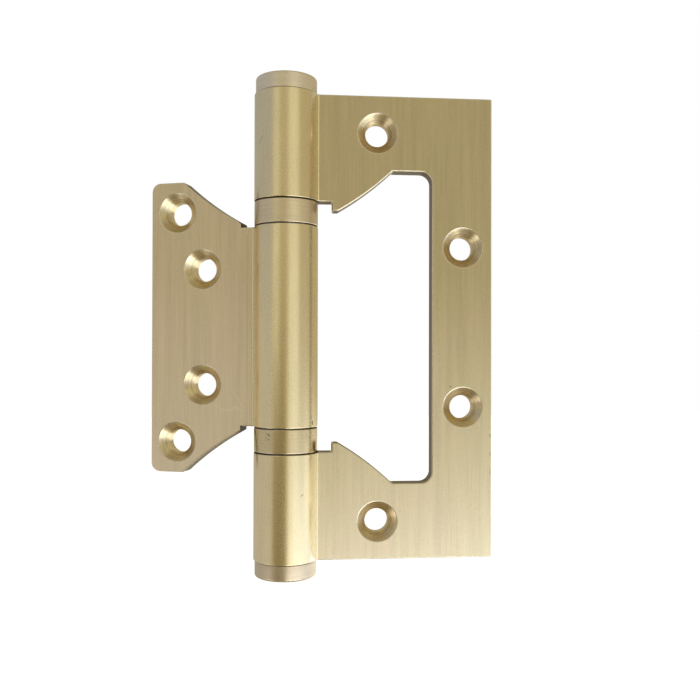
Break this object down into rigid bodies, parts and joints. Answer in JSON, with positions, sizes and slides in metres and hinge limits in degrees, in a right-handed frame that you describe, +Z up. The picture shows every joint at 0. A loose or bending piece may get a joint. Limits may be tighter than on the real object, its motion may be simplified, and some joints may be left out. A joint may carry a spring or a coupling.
{
  "type": "flush hinge",
  "caption": "Leaf-in-leaf flush hinge in brushed brass: a small inner leaf folds into the window of the outer leaf; ball bearings between the knuckles.",
  "frame": {"origin": "on the outer leaf's mounting face, midway between its two middle screw holes", "axes": "+X from the pin towards the outer leaf's free edge, +Y out of the outer leaf's mounting face, +Z up along the pin"},
  "size_m": [0.0755, 0.0184, 0.1086],
  "materials": {
    "outer_leaf_brass": "vertically brushed satin",
    "inner_leaf_brass": "vertically brushed satin",
    "turned_brass": "fine turned satin",
    "cage_brass": "pressed, plain",
    "pin_steel": "ground",
    "race_steel": "hardened and ground",
    "ball_steel": "polished"
  },
  "bodies": {
    "outer_leaf": {"outer_leaf": "outer_leaf_brass", "hinge_pin": "pin_steel", "top_cap": "turned_brass", "bottom_cap": "turned_brass", "upper_bearing_upper_race": "race_steel", "lower_bearing_collar": "turned_brass", "lower_bearing_lower_race": "race_steel"},
    "inner_leaf": {"inner_leaf": "inner_leaf_brass", "upper_bearing_collar": "turned_brass", "upper_bearing_lower_race": "race_steel", "lower_bearing_upper_race": "race_steel"},
    "upper_cage": {"upper_bearing_cage": "cage_brass", "upper_bearing_ball_1": "ball_steel", "upper_bearing_ball_2": "ball_steel", "upper_bearing_ball_3": "ball_steel", "upper_bearing_ball_4": "ball_steel", "upper_bearing_ball_5": "ball_steel", "upper_bearing_ball_6": "ball_steel"},
    "lower_cage": {"lower_bearing_cage": "cage_brass", "lower_bearing_ball_1": "ball_steel", "lower_bearing_ball_2": "ball_steel", "lower_bearing_ball_3": "ball_steel", "lower_bearing_ball_4": "ball_steel", "lower_bearing_ball_5": "ball_steel", "lower_bearing_ball_6": "ball_steel"}
  },
  "joints": [
    {"name": "inner_leaf_swing", "type": "hinge", "parent": "outer_leaf", "child": "inner_leaf", "pos_m": [-0.039, -0.002, 0], "axis": [0, 0, -1], "range_deg": [-198, 162]},
    {"name": "upper_cage_roll", "type": "hinge", "parent": "outer_leaf", "child": "upper_cage", "pos_m": [-0.039, -0.002, 0.0246], "axis": [0, 0, -1], "range_deg": [-99, 81]},
    {"name": "lower_cage_roll", "type": "hinge", "parent": "outer_leaf", "child": "lower_cage", "pos_m": [-0.039, -0.002, -0.0246], "axis": [0, 0, -1], "range_deg": [-99, 81]}
  ],
  "couplings": [
    {"joint": "upper_cage_roll", "follows": "inner_leaf_swing", "ratio": 0.5},
    {"joint": "lower_cage_roll", "follows": "inner_leaf_swing", "ratio": 0.5}
  ]
}
